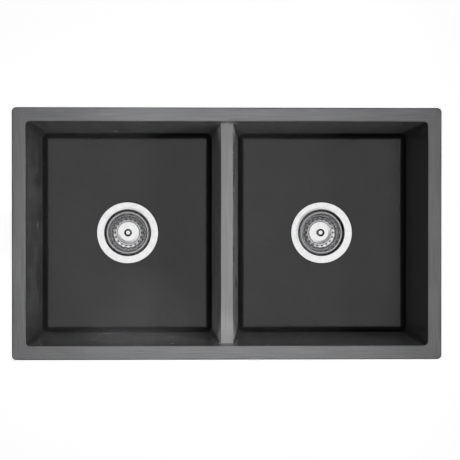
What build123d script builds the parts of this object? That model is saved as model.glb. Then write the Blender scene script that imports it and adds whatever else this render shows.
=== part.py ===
from build123d import *
import math
import os

# Double bowl kitchen sink, moulded in quartz composite, with a basket strainer in each bowl.
# Millimetres, +Z up. The origin is the centre of the rim's flat top, +X runs along the long
# side and +Y to the back.

# --- Basin: one moulding ---
sink_length = 750.0
sink_width = 440.0
rim_width = 24.0
rim_thickness = 10.0
rim_corner_r = 8.0
rim_edge_r = 2.5  # rounding of the rim's outer top edge
rim_foot_r = 1.0  # rounding of the rim's outer bottom edge
mouth_corner_r = 8.0
mouth_edge_r = 1.5
bowl_depth = 195.0  # rim top to bowl floor
wall = 9.0
floor_thickness = 9.0
end_lean = 13.0  # how far an end wall leans in from rim to floor
side_lean = 11.0  # the same for the front and back walls
floor_corner_r = 14.0  # upright corners, at floor level
floor_fillet_r = 12.0  # wall to floor
floor_slope = 1 / 80  # fall of each floor towards its drain

# --- Divider between the bowls ---
divider_drop = 38.0  # rim top to divider top
divider_top_width = 22.0
divider_base_width = 50.0  # between the two bowls at floor level
divider_corner_r = 3.0  # upright corners beside the divider, at its top
divider_edge_r = 1.5
divider_web = 34.0  # solid part under the divider's top

# --- Drain seat in each floor ---
drain_hole_r = 45.0
recess_step = 2.2
recess_dish = 2.0  # further drop from the recess's edge to the hole
recess_clearance = 1.5  # around the strainer flange
drain_boss_r = 64.0
drain_boss = 3.0  # below the floor's underside
overcut = 1.0  # of the drain's cut past the faces it meets

# --- Strainer body: drawn sheet ---
flange_r = 57.0
body_sheet = 1.0
cup_r = 42.5  # inside of the threaded cup
cup_bend_r = 6.0  # flange to cup
cone_foot_r = 29.5
cone_bend_r = 4.0
neck_r = 21.2  # inside of the outlet neck
neck_bend_r = 1.5
neck_drop = 4.5  # basket's bottom to the neck's top
neck_length = 26.5
seat_r = 16.5  # hole in the stopper's seat
seat_drop = 1.5  # neck's top to the seat
seat_thickness = 1.2

# --- Rings that clamp the strainer to the floor ---
gasket_thickness = 1.2
gasket_setback = 1.0  # inside the flange's edge
washer_thickness = 3.0
washer_width = 11.0
friction_thickness = 1.2
locknut_height = 12.0
locknut_wall = 8.0
locknut_lugs = 6
locknut_lug_reach = 5.0
locknut_lug_width = 12.0
locknut_lug_height = 8.4
thread_clearance = 0.1  # all nuts, radially

# --- Tailpiece ---
tailpiece_r = 19.0
tailpiece_wall = 1.0
tailpiece_length = 75.0
tailpiece_flange = 1.5
outlet_washer_thickness = 2.0
coupling_nut_height = 22.0
coupling_nut_flats = 54.0
coupling_nut_lip = 3.0
coupling_nut_chamfer = 1.5
outlet_clearance = 1.0  # tailpiece in the coupling nut's lip

# --- Basket: drawn sheet ---
basket_sheet = 0.8
basket_rim_r = 40.4  # edge of the turned-down lip
basket_mouth_r = 36.4  # where wall and lip would meet, before their bend
basket_mouth_depth = 5.0  # the same point, below floor level
lip_fall = 3.6
lip_bend_r = 1.2
basket_base_r = 34.5  # where wall and bottom would meet, before the knuckle
basket_bottom = 41.0
bottom_rise = 4.0  # from the dome's foot to the base
basket_knuckle_r = 10.0
dome_r = 21.3
dome_rise = 10.0  # basket's bottom to the dome's top
dome_flat_r = 8.7  # where the dome's level middle would meet its crown
dome_mid_fall = 0.84  # at the middle of the crown
dome_fall = 2.3  # at the shoulder
dome_flat_bend_r = 30.0
dome_mid_bend_r = 20.0
dome_shoulder_r = 1.5
dome_foot_r = 1.2
inner_holes_r = 24.6
inner_hole_d = 3.0
outer_holes_r = 31.0
outer_hole_d = 5.4
hole_count = 18
punch_length = 6.0

# --- Stopper and its pull ---
stem_r = 3.0
stem_chamfer = 0.5
running_clearance = 0.05  # stem in its bush
fit_clearance = 0.05  # pieces held on the stem
seat_gap = 0.3  # between a resting piece and its seat
bush_flange_r = 6.5
bush_flange = 1.2
bush_wall = 1.6
bush_depth = 3.4
knob_r = 7.3
knob_foot_r = 5.4
knob_waist_r = 4.6
knob_edge = 1.6  # height of the knob's upright edge
knob_height = 13.0
knob_waist = 4.55  # height of the waist above the foot
knob_crown = 2.0
knob_foot_edge_r = 0.5
knob_waist_bend_r = 3.0
knob_edge_bend_r = 1.0
knob_bore = 7.0
stopper_r = 19.5
stopper_thickness = 3.5
stopper_bevel = 1.2
plate_r = 15.0
plate_thickness = 0.8
stem_washer_r = 9.0
stem_washer_thickness = 1.0
stem_nut_flats = 10.0
stem_nut_height = 5.0
stem_end = 3.0  # stem below its nut


def corner_radius(top_r, top_depth, depth):
    """Upright corner's radius, growing evenly from its top to floor level."""
    share = (depth - top_depth) / (bowl_depth - top_depth)
    return top_r + (floor_corner_r - top_r) * share


def end_x(depth):
    """Inner face of an end wall at a depth below the rim."""
    return sink_length / 2 - rim_width - end_lean * depth / bowl_depth


def side_y(depth):
    """Inner face of the back wall at a depth below the rim."""
    return sink_width / 2 - rim_width - side_lean * depth / bowl_depth


def divider_x(depth):
    """Half of the divider's width at a depth below the rim."""
    share = (depth - divider_drop) / (bowl_depth - divider_drop)
    return (divider_top_width + (divider_base_width - divider_top_width) * share) / 2


drain_x = (end_x(bowl_depth) + divider_x(bowl_depth)) / 2
recess_r = flange_r + recess_clearance
dish_slope = recess_dish / (recess_r - drain_hole_r)
dome_top = basket_bottom - dome_rise  # depths below the floor
neck_top = basket_bottom + neck_drop
neck_bottom = neck_top + neck_length
seat_depth = neck_top + seat_drop


def dish(radius):
    """Height of the drain recess at a radius, from floor level."""
    return -recess_step - dish_slope * (recess_r - radius)


def turned(*points):
    """Closed outline of (radius, height) points, turned about the upright axis."""
    outline = Polyline(*points, close=True)
    return revolve(Plane.XZ * make_face(outline), Axis.Z)


def ring(inner_r, outer_r, low, high):
    """Flat ring between two heights."""
    return turned((inner_r, low), (outer_r, low), (outer_r, high), (inner_r, high))


def bent_sheet(points, radii, thickness):
    """Open line of (radius, height) points with rounded bends, given a thickness and turned."""
    line = FilletPolyline(*points, radius=radii)
    section = make_face(offset(line, amount=thickness, side=Side.LEFT, closed=True).edges())
    return revolve(Plane.XZ * section, Axis.Z)


def mouth_section(depth, grow=0.0):
    """Outline around both bowls at a depth, grown outward into the wall."""
    radius = corner_radius(mouth_corner_r, 0, depth) + grow
    plan = RectangleRounded(2 * (end_x(depth) + grow), 2 * (side_y(depth) + grow), radius)
    return Pos(0, 0, -depth) * plan


def bowl_section(depth, grow=0.0, shift=0.0):
    """Outline of the right bowl at a depth, grown into the wall; shift moves its divider side out."""
    inner, outer = divider_x(depth) - grow - shift, end_x(depth) + grow
    plan = Rectangle(outer - inner, 2 * (side_y(depth) + grow))
    outer_corners = plan.vertices().group_by(Axis.X)[-1]
    plan = fillet(outer_corners, corner_radius(mouth_corner_r, 0, depth) + grow)
    inner_corners = plan.vertices().group_by(Axis.X)[0]
    plan = fillet(inner_corners, corner_radius(divider_corner_r, divider_drop, depth) + grow)
    return Pos((inner + outer) / 2, 0, -depth) * plan


def bowl_form(grow, floor_depth):
    """Right bowl as a solid from the divider's top down to a flat floor."""
    return loft([bowl_section(divider_drop, grow), bowl_section(floor_depth, grow)], ruled=True)


def bowl_outside():
    """Outer form of the right bowl, with its rounded bottom edge."""
    form = bowl_form(wall, bowl_depth + floor_thickness)
    return fillet(form.faces().sort_by(Axis.Z)[0].edges(), floor_fillet_r + wall)


def bowl_hollow():
    """Hollow of the right bowl: its floor falls to the drain as a shallow cone."""
    reach = sink_length / 2
    rise = (reach - recess_r) * floor_slope
    above_floor = turned((0, 0), (recess_r, 0), (reach, rise), (reach, bowl_depth), (0, bowl_depth))
    hollow = bowl_form(0, bowl_depth) & Pos(drain_x, 0, -bowl_depth) * above_floor
    floor = hollow.faces().filter_by(GeomType.CONE).sort_by(SortBy.AREA)[-1]
    return fillet(floor.outer_wire().edges(), floor_fillet_r)


def divider_rounding():
    """Top strip of the right bowl's hollow, flared so that it rounds the divider's top edge."""
    sections = []
    for turn in (0, 30, 60, 90):
        depth = divider_drop + divider_edge_r * (1 - math.sin(math.radians(90 - turn)))
        shift = divider_edge_r * (1 - math.sin(math.radians(turn)))
        sections.append(bowl_section(depth, shift=shift))
    return loft(sections)


def drain_cut():
    """Dished recess and hole, about the drain's own axis with the floor at height 0."""
    through = -floor_thickness - drain_boss - overcut
    return turned((0, overcut), (recess_r, overcut), (recess_r, dish(recess_r)),
                  (drain_hole_r, dish(drain_hole_r)), (drain_hole_r, through), (0, through))


def make_basin():
    """Rim, two bowls and low divider in one moulding."""
    web_low = divider_drop + divider_web
    rim = extrude(RectangleRounded(sink_length, sink_width, rim_corner_r), -rim_thickness)
    upper = loft([mouth_section(0, wall), mouth_section(divider_drop, wall)], ruled=True)
    web = loft([mouth_section(divider_drop, wall), mouth_section(web_low, wall)], ruled=True)
    web_width = 2 * (divider_x(web_low) + wall)
    web &= Pos(0, 0, -web_low) * Box(web_width, sink_width, 2 * divider_web)
    boss_height = floor_thickness + drain_boss
    boss = Pos(drain_x, 0, -bowl_depth - boss_height / 2) * Cylinder(drain_boss_r, boss_height)
    right_form = bowl_outside() + boss
    rim = fillet(rim.faces().sort_by(Axis.Z)[0].edges(), rim_foot_r)
    basin = rim + upper + web + right_form + mirror(right_form, Plane.YZ)

    mouth = loft([mouth_section(0), mouth_section(divider_drop)], ruled=True)
    right_bowl = bowl_hollow() + divider_rounding()
    right_bowl += Pos(drain_x, 0, -bowl_depth) * drain_cut()
    basin -= mouth + right_bowl + mirror(right_bowl, Plane.YZ)

    rim_top = basin.faces().filter_by(Axis.Z).sort_by(Axis.Z)[-1]
    basin = fillet(rim_top.outer_wire().edges(), rim_edge_r)
    rim_top = basin.faces().filter_by(Axis.Z).sort_by(Axis.Z)[-1]
    return fillet(rim_top.inner_wires()[0].edges(), mouth_edge_r)


def knuckle_centre():
    """Centre of the basket's knuckle arc, one radius from both its rising bottom and its wall."""
    corner = Vector(basket_base_r, bottom_rise - basket_bottom)
    from_bottom = Vector(-bottom_rise, basket_base_r - dome_r).normalized()
    wall_height = basket_bottom - bottom_rise - basket_mouth_depth
    from_wall = Vector(-wall_height, basket_mouth_r - basket_base_r).normalized()
    reach = basket_knuckle_r / (1 + from_bottom.dot(from_wall))
    centre = corner + (from_bottom + from_wall) * reach
    return centre.X, centre.Y


def cone_start():
    """Depth below the floor at which the cup turns into its 45 degree cone, under the knuckle."""
    centre_r, centre_z = knuckle_centre()
    reach = basket_knuckle_r + basket_sheet + seat_gap
    return centre_r - centre_z + math.sqrt(2) * reach - cup_r


def make_strainer_body():
    """Drawn flange, threaded cup, cone and neck, with the stopper's seat inside the neck."""
    lift = gasket_thickness + body_sheet * math.hypot(1, dish_slope)
    cone_top = -cone_start()
    points = [(flange_r, dish(flange_r) + lift), (cup_r, dish(cup_r) + lift), (cup_r, cone_top),
              (cone_foot_r, cone_top - (cup_r - cone_foot_r)),
              (neck_r, -neck_top), (neck_r, -neck_bottom)]
    shell = bent_sheet(points, [cup_bend_r, cone_bend_r, cone_bend_r, neck_bend_r], body_sheet)
    seat = ring(seat_r, neck_r + body_sheet / 2, -seat_depth - seat_thickness, -seat_depth)
    return shell + seat


def make_flange_gasket():
    """Soft ring between the flange and the dished recess."""
    outer, inner = flange_r - gasket_setback, cup_r + cup_bend_r
    return turned((inner, dish(inner)), (outer, dish(outer)),
                  (outer, dish(outer) + gasket_thickness), (inner, dish(inner) + gasket_thickness))


def under_floor():
    """Height of the boss's underside, where the clamping rings start."""
    return -floor_thickness - drain_boss


def make_under_washer():
    """Rubber washer against the boss."""
    inner = drain_hole_r
    return ring(inner, inner + washer_width, under_floor() - washer_thickness, under_floor())


def make_friction_ring():
    """Slip ring that keeps the nut from dragging the rubber washer."""
    inner = drain_hole_r
    top = under_floor() - washer_thickness
    return ring(inner, inner + washer_width, top - friction_thickness, top)


def make_locknut():
    """Ring nut on the cup's thread, with lugs to turn it by."""
    top = under_floor() - washer_thickness - friction_thickness
    inner = cup_r + body_sheet + thread_clearance
    outer = inner + locknut_wall
    nut = ring(inner, outer, top - locknut_height, top)
    reach = locknut_wall / 2 + locknut_lug_reach
    lug = Box(reach, locknut_lug_width, locknut_lug_height)
    lug_x = outer + locknut_lug_reach - reach / 2
    lug_z = top - locknut_height + locknut_lug_height / 2
    lugs = [Rot(0, 0, turn * 360 / locknut_lugs) * Pos(lug_x, 0, lug_z) * lug
            for turn in range(locknut_lugs)]
    return nut + lugs


def make_tailpiece_washer():
    """Flat washer between the neck and the tailpiece's flange."""
    low = -neck_bottom - outlet_washer_thickness
    return ring(tailpiece_r - tailpiece_wall, neck_r + body_sheet, low, -neck_bottom)


def make_tailpiece():
    """Flanged outlet tube."""
    top = -neck_bottom - outlet_washer_thickness
    bore = tailpiece_r - tailpiece_wall
    low = top - tailpiece_flange - tailpiece_length
    return turned((bore, low), (tailpiece_r, low), (tailpiece_r, top - tailpiece_flange),
                  (neck_r + body_sheet, top - tailpiece_flange), (neck_r + body_sheet, top),
                  (bore, top))


def make_coupling_nut():
    """Hexagonal nut on the neck; its lip holds the tailpiece's flange."""
    ledge = -neck_bottom - outlet_washer_thickness - tailpiece_flange
    low = ledge - coupling_nut_lip
    corner_r = coupling_nut_flats / 2 / math.cos(math.pi / 6)
    prism = extrude(Pos(0, 0, low) * RegularPolygon(corner_r, 6), coupling_nut_height)
    crown = corner_r - coupling_nut_chamfer
    high = low + coupling_nut_height
    blank = turned((0, low), (crown, low), (corner_r, low + coupling_nut_chamfer),
                   (corner_r, high - coupling_nut_chamfer), (crown, high), (0, high))
    thread = ring(0, neck_r + body_sheet + thread_clearance, ledge, high)
    passage = ring(0, tailpiece_r + outlet_clearance, low, ledge)
    return (prism & blank) - thread - passage


def make_basket():
    """Drawn basket: raised centre, pierced bottom and knuckle, turned-down lip."""
    dome_mid_r = (dome_flat_r + dome_r) / 2
    points = [(stem_r + running_clearance + bush_wall, -dome_top), (dome_flat_r, -dome_top),
              (dome_mid_r, -dome_top - dome_mid_fall), (dome_r, -dome_top - dome_fall),
              (dome_r, -basket_bottom), (basket_base_r, bottom_rise - basket_bottom),
              (basket_mouth_r, -basket_mouth_depth),
              (basket_rim_r, -basket_mouth_depth - lip_fall)]
    radii = [dome_flat_bend_r, dome_mid_bend_r, dome_shoulder_r, dome_foot_r,
             basket_knuckle_r, lip_bend_r]
    line = FilletPolyline(*points, radius=radii)
    section = make_face(offset(line, amount=basket_sheet, side=Side.RIGHT, closed=True).edges())
    shell = revolve(Plane.XZ * section, Axis.Z)

    step = 360 / hole_count
    low_tool = Pos(inner_holes_r, 0, -basket_bottom) * Cylinder(inner_hole_d / 2, punch_length)
    centre_r, centre_z = knuckle_centre()
    tilt = math.degrees(math.asin((outer_holes_r - centre_r) / basket_knuckle_r))
    side_tool = (Pos(centre_r, 0, centre_z) * Rot(0, -tilt, 0)
                 * Pos(0, 0, -basket_knuckle_r) * Cylinder(outer_hole_d / 2, punch_length))
    tools = []
    for index in range(hole_count):
        tools.append(Rot(0, 0, step * index) * low_tool)
        tools.append(Rot(0, 0, step * (index + 0.5)) * side_tool)
    return shell - tools


def make_guide_bush():
    """Moulded bush in the basket's centre."""
    bore = stem_r + running_clearance
    barrel = bore + bush_wall - fit_clearance
    return turned((bore, -dome_top - bush_depth), (barrel, -dome_top - bush_depth),
                  (barrel, -dome_top), (bush_flange_r, -dome_top),
                  (bush_flange_r, -dome_top + bush_flange / 2),
                  (bush_flange_r - bush_flange / 2, -dome_top + bush_flange),
                  (bore, -dome_top + bush_flange))


def knob_base():
    """Height of the knob's foot, just above the bush with the stopper on its seat."""
    return -dome_top + bush_flange + seat_gap


def make_knob():
    """Waisted pull knob with a crowned top and a blind bore for the stem."""
    foot = knob_base()
    top = foot + knob_height
    edge = top - knob_crown
    crown_r = (knob_r ** 2 + knob_crown ** 2) / (2 * knob_crown)
    half_turn = math.asin(knob_r / crown_r) / 2
    on_crown = (crown_r * math.sin(half_turn), top - crown_r * (1 - math.cos(half_turn)))
    radii = [knob_foot_edge_r, knob_waist_bend_r, knob_edge_bend_r]
    side = FilletPolyline((0, foot), (knob_foot_r, foot), (knob_waist_r, foot + knob_waist),
                          (knob_r, edge - knob_edge), (knob_r, edge), radius=radii)
    crown = ThreePointArc((knob_r, edge), on_crown, (0, top))
    outline = side.edges() + crown.edges() + Line((0, top), (0, foot)).edges()
    body = revolve(Plane.XZ * make_face(outline), Axis.Z)
    return body - ring(0, stem_r + fit_clearance, foot, foot + knob_bore)


def stopper_low():
    """Underside of the stopper, resting on its seat."""
    return -seat_depth + seat_gap


def make_stopper():
    """Rubber disc with a bevelled sealing edge."""
    low = stopper_low()
    high = low + stopper_thickness
    bore = stem_r + fit_clearance
    return turned((bore, low), (stopper_r - stopper_bevel, low), (stopper_r, low + stopper_bevel),
                  (stopper_r, high), (bore, high))


def make_backing_plate():
    """Disc that stiffens the stopper from above."""
    low = stopper_low() + stopper_thickness
    return ring(stem_r + fit_clearance, plate_r, low, low + plate_thickness)


def make_stem_washer():
    """Small disc under the stopper."""
    high = stopper_low()
    return ring(stem_r + fit_clearance, stem_washer_r, high - stem_washer_thickness, high)


def stem_nut_low():
    """Underside of the stem's nut."""
    return stopper_low() - stem_washer_thickness - stem_nut_height


def make_stem_nut():
    """Hexagonal nut under the stopper."""
    corner_r = stem_nut_flats / 2 / math.cos(math.pi / 6)
    nut = extrude(Pos(0, 0, stem_nut_low()) * RegularPolygon(corner_r, 6), stem_nut_height)
    high = stem_nut_low() + stem_nut_height
    return nut - ring(0, stem_r + fit_clearance, stem_nut_low(), high)


def make_stem():
    """Rod from inside the knob to below the nut."""
    high = knob_base() + knob_bore - fit_clearance
    low = stem_nut_low() - stem_end
    return turned((0, low), (stem_r - stem_chamfer, low), (stem_r, low + stem_chamfer),
                  (stem_r, high), (0, high))


strainer_pieces = {
    "strainer_body": make_strainer_body,
    "flange_gasket": make_flange_gasket,
    "under_washer": make_under_washer,
    "friction_ring": make_friction_ring,
    "locknut": make_locknut,
    "tailpiece_washer": make_tailpiece_washer,
    "tailpiece": make_tailpiece,
    "coupling_nut": make_coupling_nut,
    "basket": make_basket,
    "guide_bush": make_guide_bush,
    "knob": make_knob,
    "stem": make_stem,
    "backing_plate": make_backing_plate,
    "stopper": make_stopper,
    "stem_washer": make_stem_washer,
    "stem_nut": make_stem_nut,
}

os.makedirs("parts", exist_ok=True)
export_step(make_basin(), "parts/basin.step")
for piece, make in strainer_pieces.items():
    solid = make()
    for side, side_x in (("left", -drain_x), ("right", drain_x)):
        export_step(Pos(side_x, 0, -bowl_depth) * solid, f"parts/{side}_{piece}.step")
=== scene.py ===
"""Looks of a double bowl kitchen sink, moulded in quartz composite, with two basket strainers.

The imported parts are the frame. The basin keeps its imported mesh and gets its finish; every piece
of the strainers is drawn again with the threads, rounded edges and pierced holes of the real one.
Sizes of the pieces are millimetres. Meshes and the studio are in metres.
"""

import logging
import math
from collections.abc import Iterable, Sequence
from dataclasses import dataclass, field
from enum import Enum

import bmesh
import bpy
import numpy as np
from mathutils import Matrix, Vector


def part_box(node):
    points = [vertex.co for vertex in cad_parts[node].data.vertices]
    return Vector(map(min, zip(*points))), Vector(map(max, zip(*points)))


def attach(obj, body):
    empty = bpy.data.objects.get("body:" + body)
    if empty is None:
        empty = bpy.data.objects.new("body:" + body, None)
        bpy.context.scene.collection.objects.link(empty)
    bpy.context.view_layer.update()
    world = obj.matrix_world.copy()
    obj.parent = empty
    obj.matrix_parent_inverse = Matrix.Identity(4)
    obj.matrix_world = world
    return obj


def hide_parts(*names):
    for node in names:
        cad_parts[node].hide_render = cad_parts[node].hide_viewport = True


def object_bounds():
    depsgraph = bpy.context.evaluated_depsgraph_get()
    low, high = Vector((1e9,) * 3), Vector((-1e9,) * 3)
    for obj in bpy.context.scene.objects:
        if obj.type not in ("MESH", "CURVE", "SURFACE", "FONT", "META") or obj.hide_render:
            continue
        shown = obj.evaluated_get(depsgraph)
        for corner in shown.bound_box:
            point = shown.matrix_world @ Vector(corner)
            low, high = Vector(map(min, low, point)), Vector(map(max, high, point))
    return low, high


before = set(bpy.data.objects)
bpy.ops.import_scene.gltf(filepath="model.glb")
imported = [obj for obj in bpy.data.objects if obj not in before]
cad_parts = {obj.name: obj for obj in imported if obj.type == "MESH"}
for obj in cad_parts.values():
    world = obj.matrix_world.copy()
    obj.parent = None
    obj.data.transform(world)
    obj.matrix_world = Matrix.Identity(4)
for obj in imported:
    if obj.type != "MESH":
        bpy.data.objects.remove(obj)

LOG = logging.getLogger("sink")
MM = 0.001
CAD_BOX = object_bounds()
HALF_LENGTH = CAD_BOX[1].x / MM
HALF_WIDTH = CAD_BOX[1].y / MM
BOWL_DEPTH = 195.0  # from the rim's top to the floor round a drain
FULL_TURN = 2 * math.pi
AROUND = 144  # points round a turned piece; the 18 holes and the 6 flats divide it
EVEN_ANGLES = np.arange(AROUND) * FULL_TURN / AROUND
ARC_STEP = math.radians(9)  # widest turn between two points of a rounded corner
SHARP_EDGE = math.radians(38)
MERGE = 0.002  # points closer than this are one
SNUG = 0.02  # radii closer than this count as the same


class Side(Enum):
    """The two bowls, by the word that the names of their parts start with."""

    LEFT = "left"
    RIGHT = "right"


# --- Lines and surfaces -------------------------------------------------------------------


def rounded(points: Sequence[tuple[float, float]], radii: Sequence[float]) -> np.ndarray:
    """Open line of (radius, height) points with an arc in place of each inner corner.

    An arc of radius r starts r / tan(half the corner's angle) before the corner, and its centre
    lies on the corner's bisector. Points close to each arc's ends hold the flats flat.

    Args:
        points: Corners of the line, in millimetres.
        radii: One radius for each inner corner.

    Returns:
        The line's points, one row each.
    """
    corners = [np.array(p, float) for p in points]
    line = [corners[0]]
    for before, at, after, radius in zip(corners, corners[1:], corners[2:], radii):
        back, ahead = before - at, after - at
        back, ahead = back / np.linalg.norm(back), ahead / np.linalg.norm(ahead)
        corner = math.acos(float(np.clip(back @ ahead, -1, 1)))
        reach = radius / math.tan(corner / 2)
        bisector = (back + ahead) / np.linalg.norm(back + ahead)
        centre = at + bisector * radius / math.sin(corner / 2)
        start = at + back * reach - centre
        sweep = math.pi - corner
        if back[0] * ahead[1] - back[1] * ahead[0] > 0:
            sweep = -sweep
        turn = np.linspace(0, sweep, max(3, math.ceil(abs(sweep) / ARC_STEP) + 1))
        cos, sin = np.cos(turn), np.sin(turn)
        arc = np.stack([start[0] * cos - start[1] * sin, start[0] * sin + start[1] * cos], 1)
        line.extend(centre + arc)
    line.append(corners[-1])
    return held_flat(np.array(line))


def held_flat(line: np.ndarray, hold: float = 0.25, long: float = 1.2) -> np.ndarray:
    """Line with an extra point near each end of its long straight runs.

    Args:
        line: Points of the line.
        hold: Distance of the extra point from the run's end.
        long: Shortest run that gets them.

    Returns:
        The line with the extra points.
    """
    held = [line[0]]
    for start, end in zip(line, line[1:]):
        run = end - start
        length = float(np.linalg.norm(run))
        if length > long:
            held.extend([start + run * hold / length, end - run * hold / length])
        held.append(end)
    return np.array(held)


def sides_of(line: np.ndarray) -> np.ndarray:
    """Unit normal at each point of a line: its direction, turned a quarter to the left.

    Args:
        line: Points of the line.

    Returns:
        One normal for each point.
    """
    along = np.gradient(line, axis=0)
    along /= np.linalg.norm(along, axis=1, keepdims=True)
    return np.stack([-along[:, 1], along[:, 0]], 1)


def sheet_end(at: np.ndarray, across: np.ndarray, outward: np.ndarray) -> np.ndarray:
    """Half ellipse that rounds the end of a sheet.

    At the angle a, from 0 to half a turn, the point lies minus cos a times half the way across
    and sin a times the way outward from the middle of the end.

    Args:
        at: Seen corner of the end.
        across: Way from that corner to the one on the sheet's other face.
        outward: Way from the middle of the end to the ellipse's tip.

    Returns:
        Points between the two corners.
    """
    turn = np.linspace(0, math.pi, 7)[1:-1, None]
    return at + across / 2 - across / 2 * np.cos(turn) + outward * np.sin(turn)


def sheet_loop(line: np.ndarray, thickness: float, bulge: float = 0.3) -> np.ndarray:
    """Closed section of a sheet that lies on the left of a line, with rounded ends.

    The section is the line, a half ellipse, the line moved by the thickness, and another half
    ellipse, so the sheet is as long as the line.

    Args:
        line: Seen surface of the sheet, in millimetres.
        thickness: Sheet thickness; a negative one lies on the line's right.
        bulge: How far the rounded ends reach out, as a share of the thickness.

    Returns:
        Points of the closed section.
    """
    across = sides_of(line) * thickness
    first, last = line[1] - line[0], line[-2] - line[-1]
    first *= bulge * abs(thickness) / np.linalg.norm(first)
    last *= bulge * abs(thickness) / np.linalg.norm(last)
    trimmed = line.copy()
    trimmed[0] += first
    trimmed[-1] += last
    close = sheet_end(trimmed[-1], across[-1], -last)
    back = (trimmed + across)[::-1]
    start = sheet_end(trimmed[0], across[0], -first)[::-1]
    return np.concatenate([trimmed, close, back, start])


def closed_section(points: Sequence[tuple[float, float]], edge: float = 0.3) -> np.ndarray:
    """Closed polygon of (radius, height) points with every corner eased by the same radius.

    Args:
        points: Corners of the polygon, in millimetres.
        edge: Radius of the corners.

    Returns:
        Points of the section.
    """
    start = tuple((np.array(points[-1]) + np.array(points[0])) / 2)
    line = rounded([start, *points, start], [edge] * len(points))
    return line[:-1]


@dataclass
class Patch:
    """Grid of points, rows by columns, that may close on itself either way."""

    points: np.ndarray
    rows_close: bool = False
    columns_close: bool = True

    def quads(self) -> np.ndarray:
        """Corner numbers of each cell of the grid, counted along its rows.

        Returns:
            One row of four corner numbers for each cell.
        """
        rows, columns = self.points.shape[:2]
        number = np.arange(rows * columns).reshape(rows, columns)
        if self.rows_close:
            number = np.vstack([number, number[:1]])
        if self.columns_close:
            number = np.hstack([number, number[:, :1]])
        corners = [number[:-1, :-1], number[:-1, 1:], number[1:, 1:], number[1:, :-1]]
        return np.stack(corners, -1).reshape(-1, 4)


def turned(section: np.ndarray, closed: bool = True, around: np.ndarray = EVEN_ANGLES) -> Patch:
    """Surface of a section carried round the upright axis.

    A point (r, z) of the section at the angle a stands at (r cos a, r sin a, z).

    Args:
        section: (radius, height) points, or one such line for each angle.
        closed: Whether the section's last point joins its first.
        around: The angles.

    Returns:
        The surface, in millimetres about the drain's axis.
    """
    radius, height = section[..., 0], section[..., 1]
    if section.ndim == 2:
        radius, height = radius[:, None], height[:, None]
    grid = np.broadcast_arrays(radius * np.cos(around), radius * np.sin(around), height)
    return Patch(np.stack(grid, -1), rows_close=closed)


def flat_ring(inner: float, outer: float, top: float, thickness: float, edge: float) -> Patch:
    """Flat ring with eased edges: its rectangular section carried round the axis.

    Args:
        inner: Radius of its hole.
        outer: Outer radius.
        top: Height of its upper face.
        thickness: Its thickness.
        edge: Radius of the eased edges.

    Returns:
        The ring's surface.
    """
    low = top - thickness
    return turned(closed_section([(inner, low), (outer, low), (outer, top), (inner, top)], edge))


def soft_min(a: np.ndarray, b: np.ndarray, blend: float) -> np.ndarray:
    """Smaller of two values, with the crossing rounded over about the blend's width."""
    return -blend * np.logaddexp(-a / blend, -b / blend)


def thread_wave(height: np.ndarray, angle: np.ndarray, low: float, high: float,
                pitch: float, depth: float) -> np.ndarray:
    """Depth of a rounded helical thread, from 0 at its crest to depth at its root.

    The wave is half of one minus the cosine of the helix's phase, height over pitch less the
    share of a turn, and it fades out over one pitch at each end.

    Args:
        height: Heights of the surface.
        angle: Angles of the surface.
        low: Lower end of the thread.
        high: Upper end of the thread.
        pitch: Distance between crests.
        depth: Depth of the root.

    Returns:
        How far the surface lies inside its crest.
    """
    phase = FULL_TURN * (height / pitch) - angle
    fade = np.clip((height - low) / pitch, 0, 1) * np.clip((high - height) / pitch, 0, 1)
    return depth * 0.5 * (1 - np.cos(phase)) * fade


def with_rows(section: np.ndarray, low: float, high: float, step: float,
              lean: float = 0.02) -> np.ndarray:
    """Closed section whose upright runs between two heights get rows for a thread.

    Args:
        section: Closed (radius, height) section.
        low: Lower end of the thread.
        high: Upper end of the thread.
        step: Distance between the new rows.
        lean: Steepest slope off the upright that still counts as upright.

    Returns:
        The section with the new points.
    """
    rows = []
    for start, end in zip(section, np.roll(section, -1, axis=0)):
        rows.append(start[None])
        upright = abs(start[0] - end[0]) < lean * abs(start[1] - end[1])
        inside = min(start[1], end[1]) < high and max(start[1], end[1]) > low
        if upright and inside and abs(start[1] - end[1]) > 2 * step:
            share = np.linspace(0, 1, int(abs(start[1] - end[1]) / step) + 2)[1:-1, None]
            rows.append(start + (end - start) * share)
    return np.concatenate(rows)


def mesh_of(name: str, patches: Iterable[Patch], place: np.ndarray) -> bpy.types.Mesh:
    """One mesh from grids, with their shared edges merged and their faces turned outwards.

    Args:
        name: Name of the mesh.
        patches: Grids in millimetres about the piece's own axis.
        place: Where that axis stands, in metres.

    Returns:
        The mesh, in metres in the sink's frame.
    """
    points, quads, count = [], [], 0
    for patch in patches:
        points.append(patch.points.reshape(-1, 3))
        quads.append(patch.quads() + count)
        count += len(points[-1])
    corners = np.concatenate(points) * MM + place
    loops = np.concatenate(quads)
    mesh = bpy.data.meshes.new(name)
    mesh.vertices.add(len(corners))
    mesh.vertices.foreach_set("co", corners.astype(np.float32).ravel())
    mesh.loops.add(loops.size)
    mesh.loops.foreach_set("vertex_index", loops.astype(np.int32).ravel())
    mesh.polygons.add(len(loops))
    mesh.polygons.foreach_set("loop_start", np.arange(0, loops.size, 4, dtype=np.int32))
    mesh.update(calc_edges=True)
    work = bmesh.new()
    work.from_mesh(mesh)
    bmesh.ops.remove_doubles(work, verts=work.verts, dist=MERGE * MM)
    bmesh.ops.recalc_face_normals(work, faces=work.faces)
    work.to_mesh(mesh)
    work.free()
    mesh.shade_smooth()
    mesh.set_sharp_from_angle(angle=SHARP_EDGE)
    return mesh


# --- Node trees ---------------------------------------------------------------------------

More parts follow.
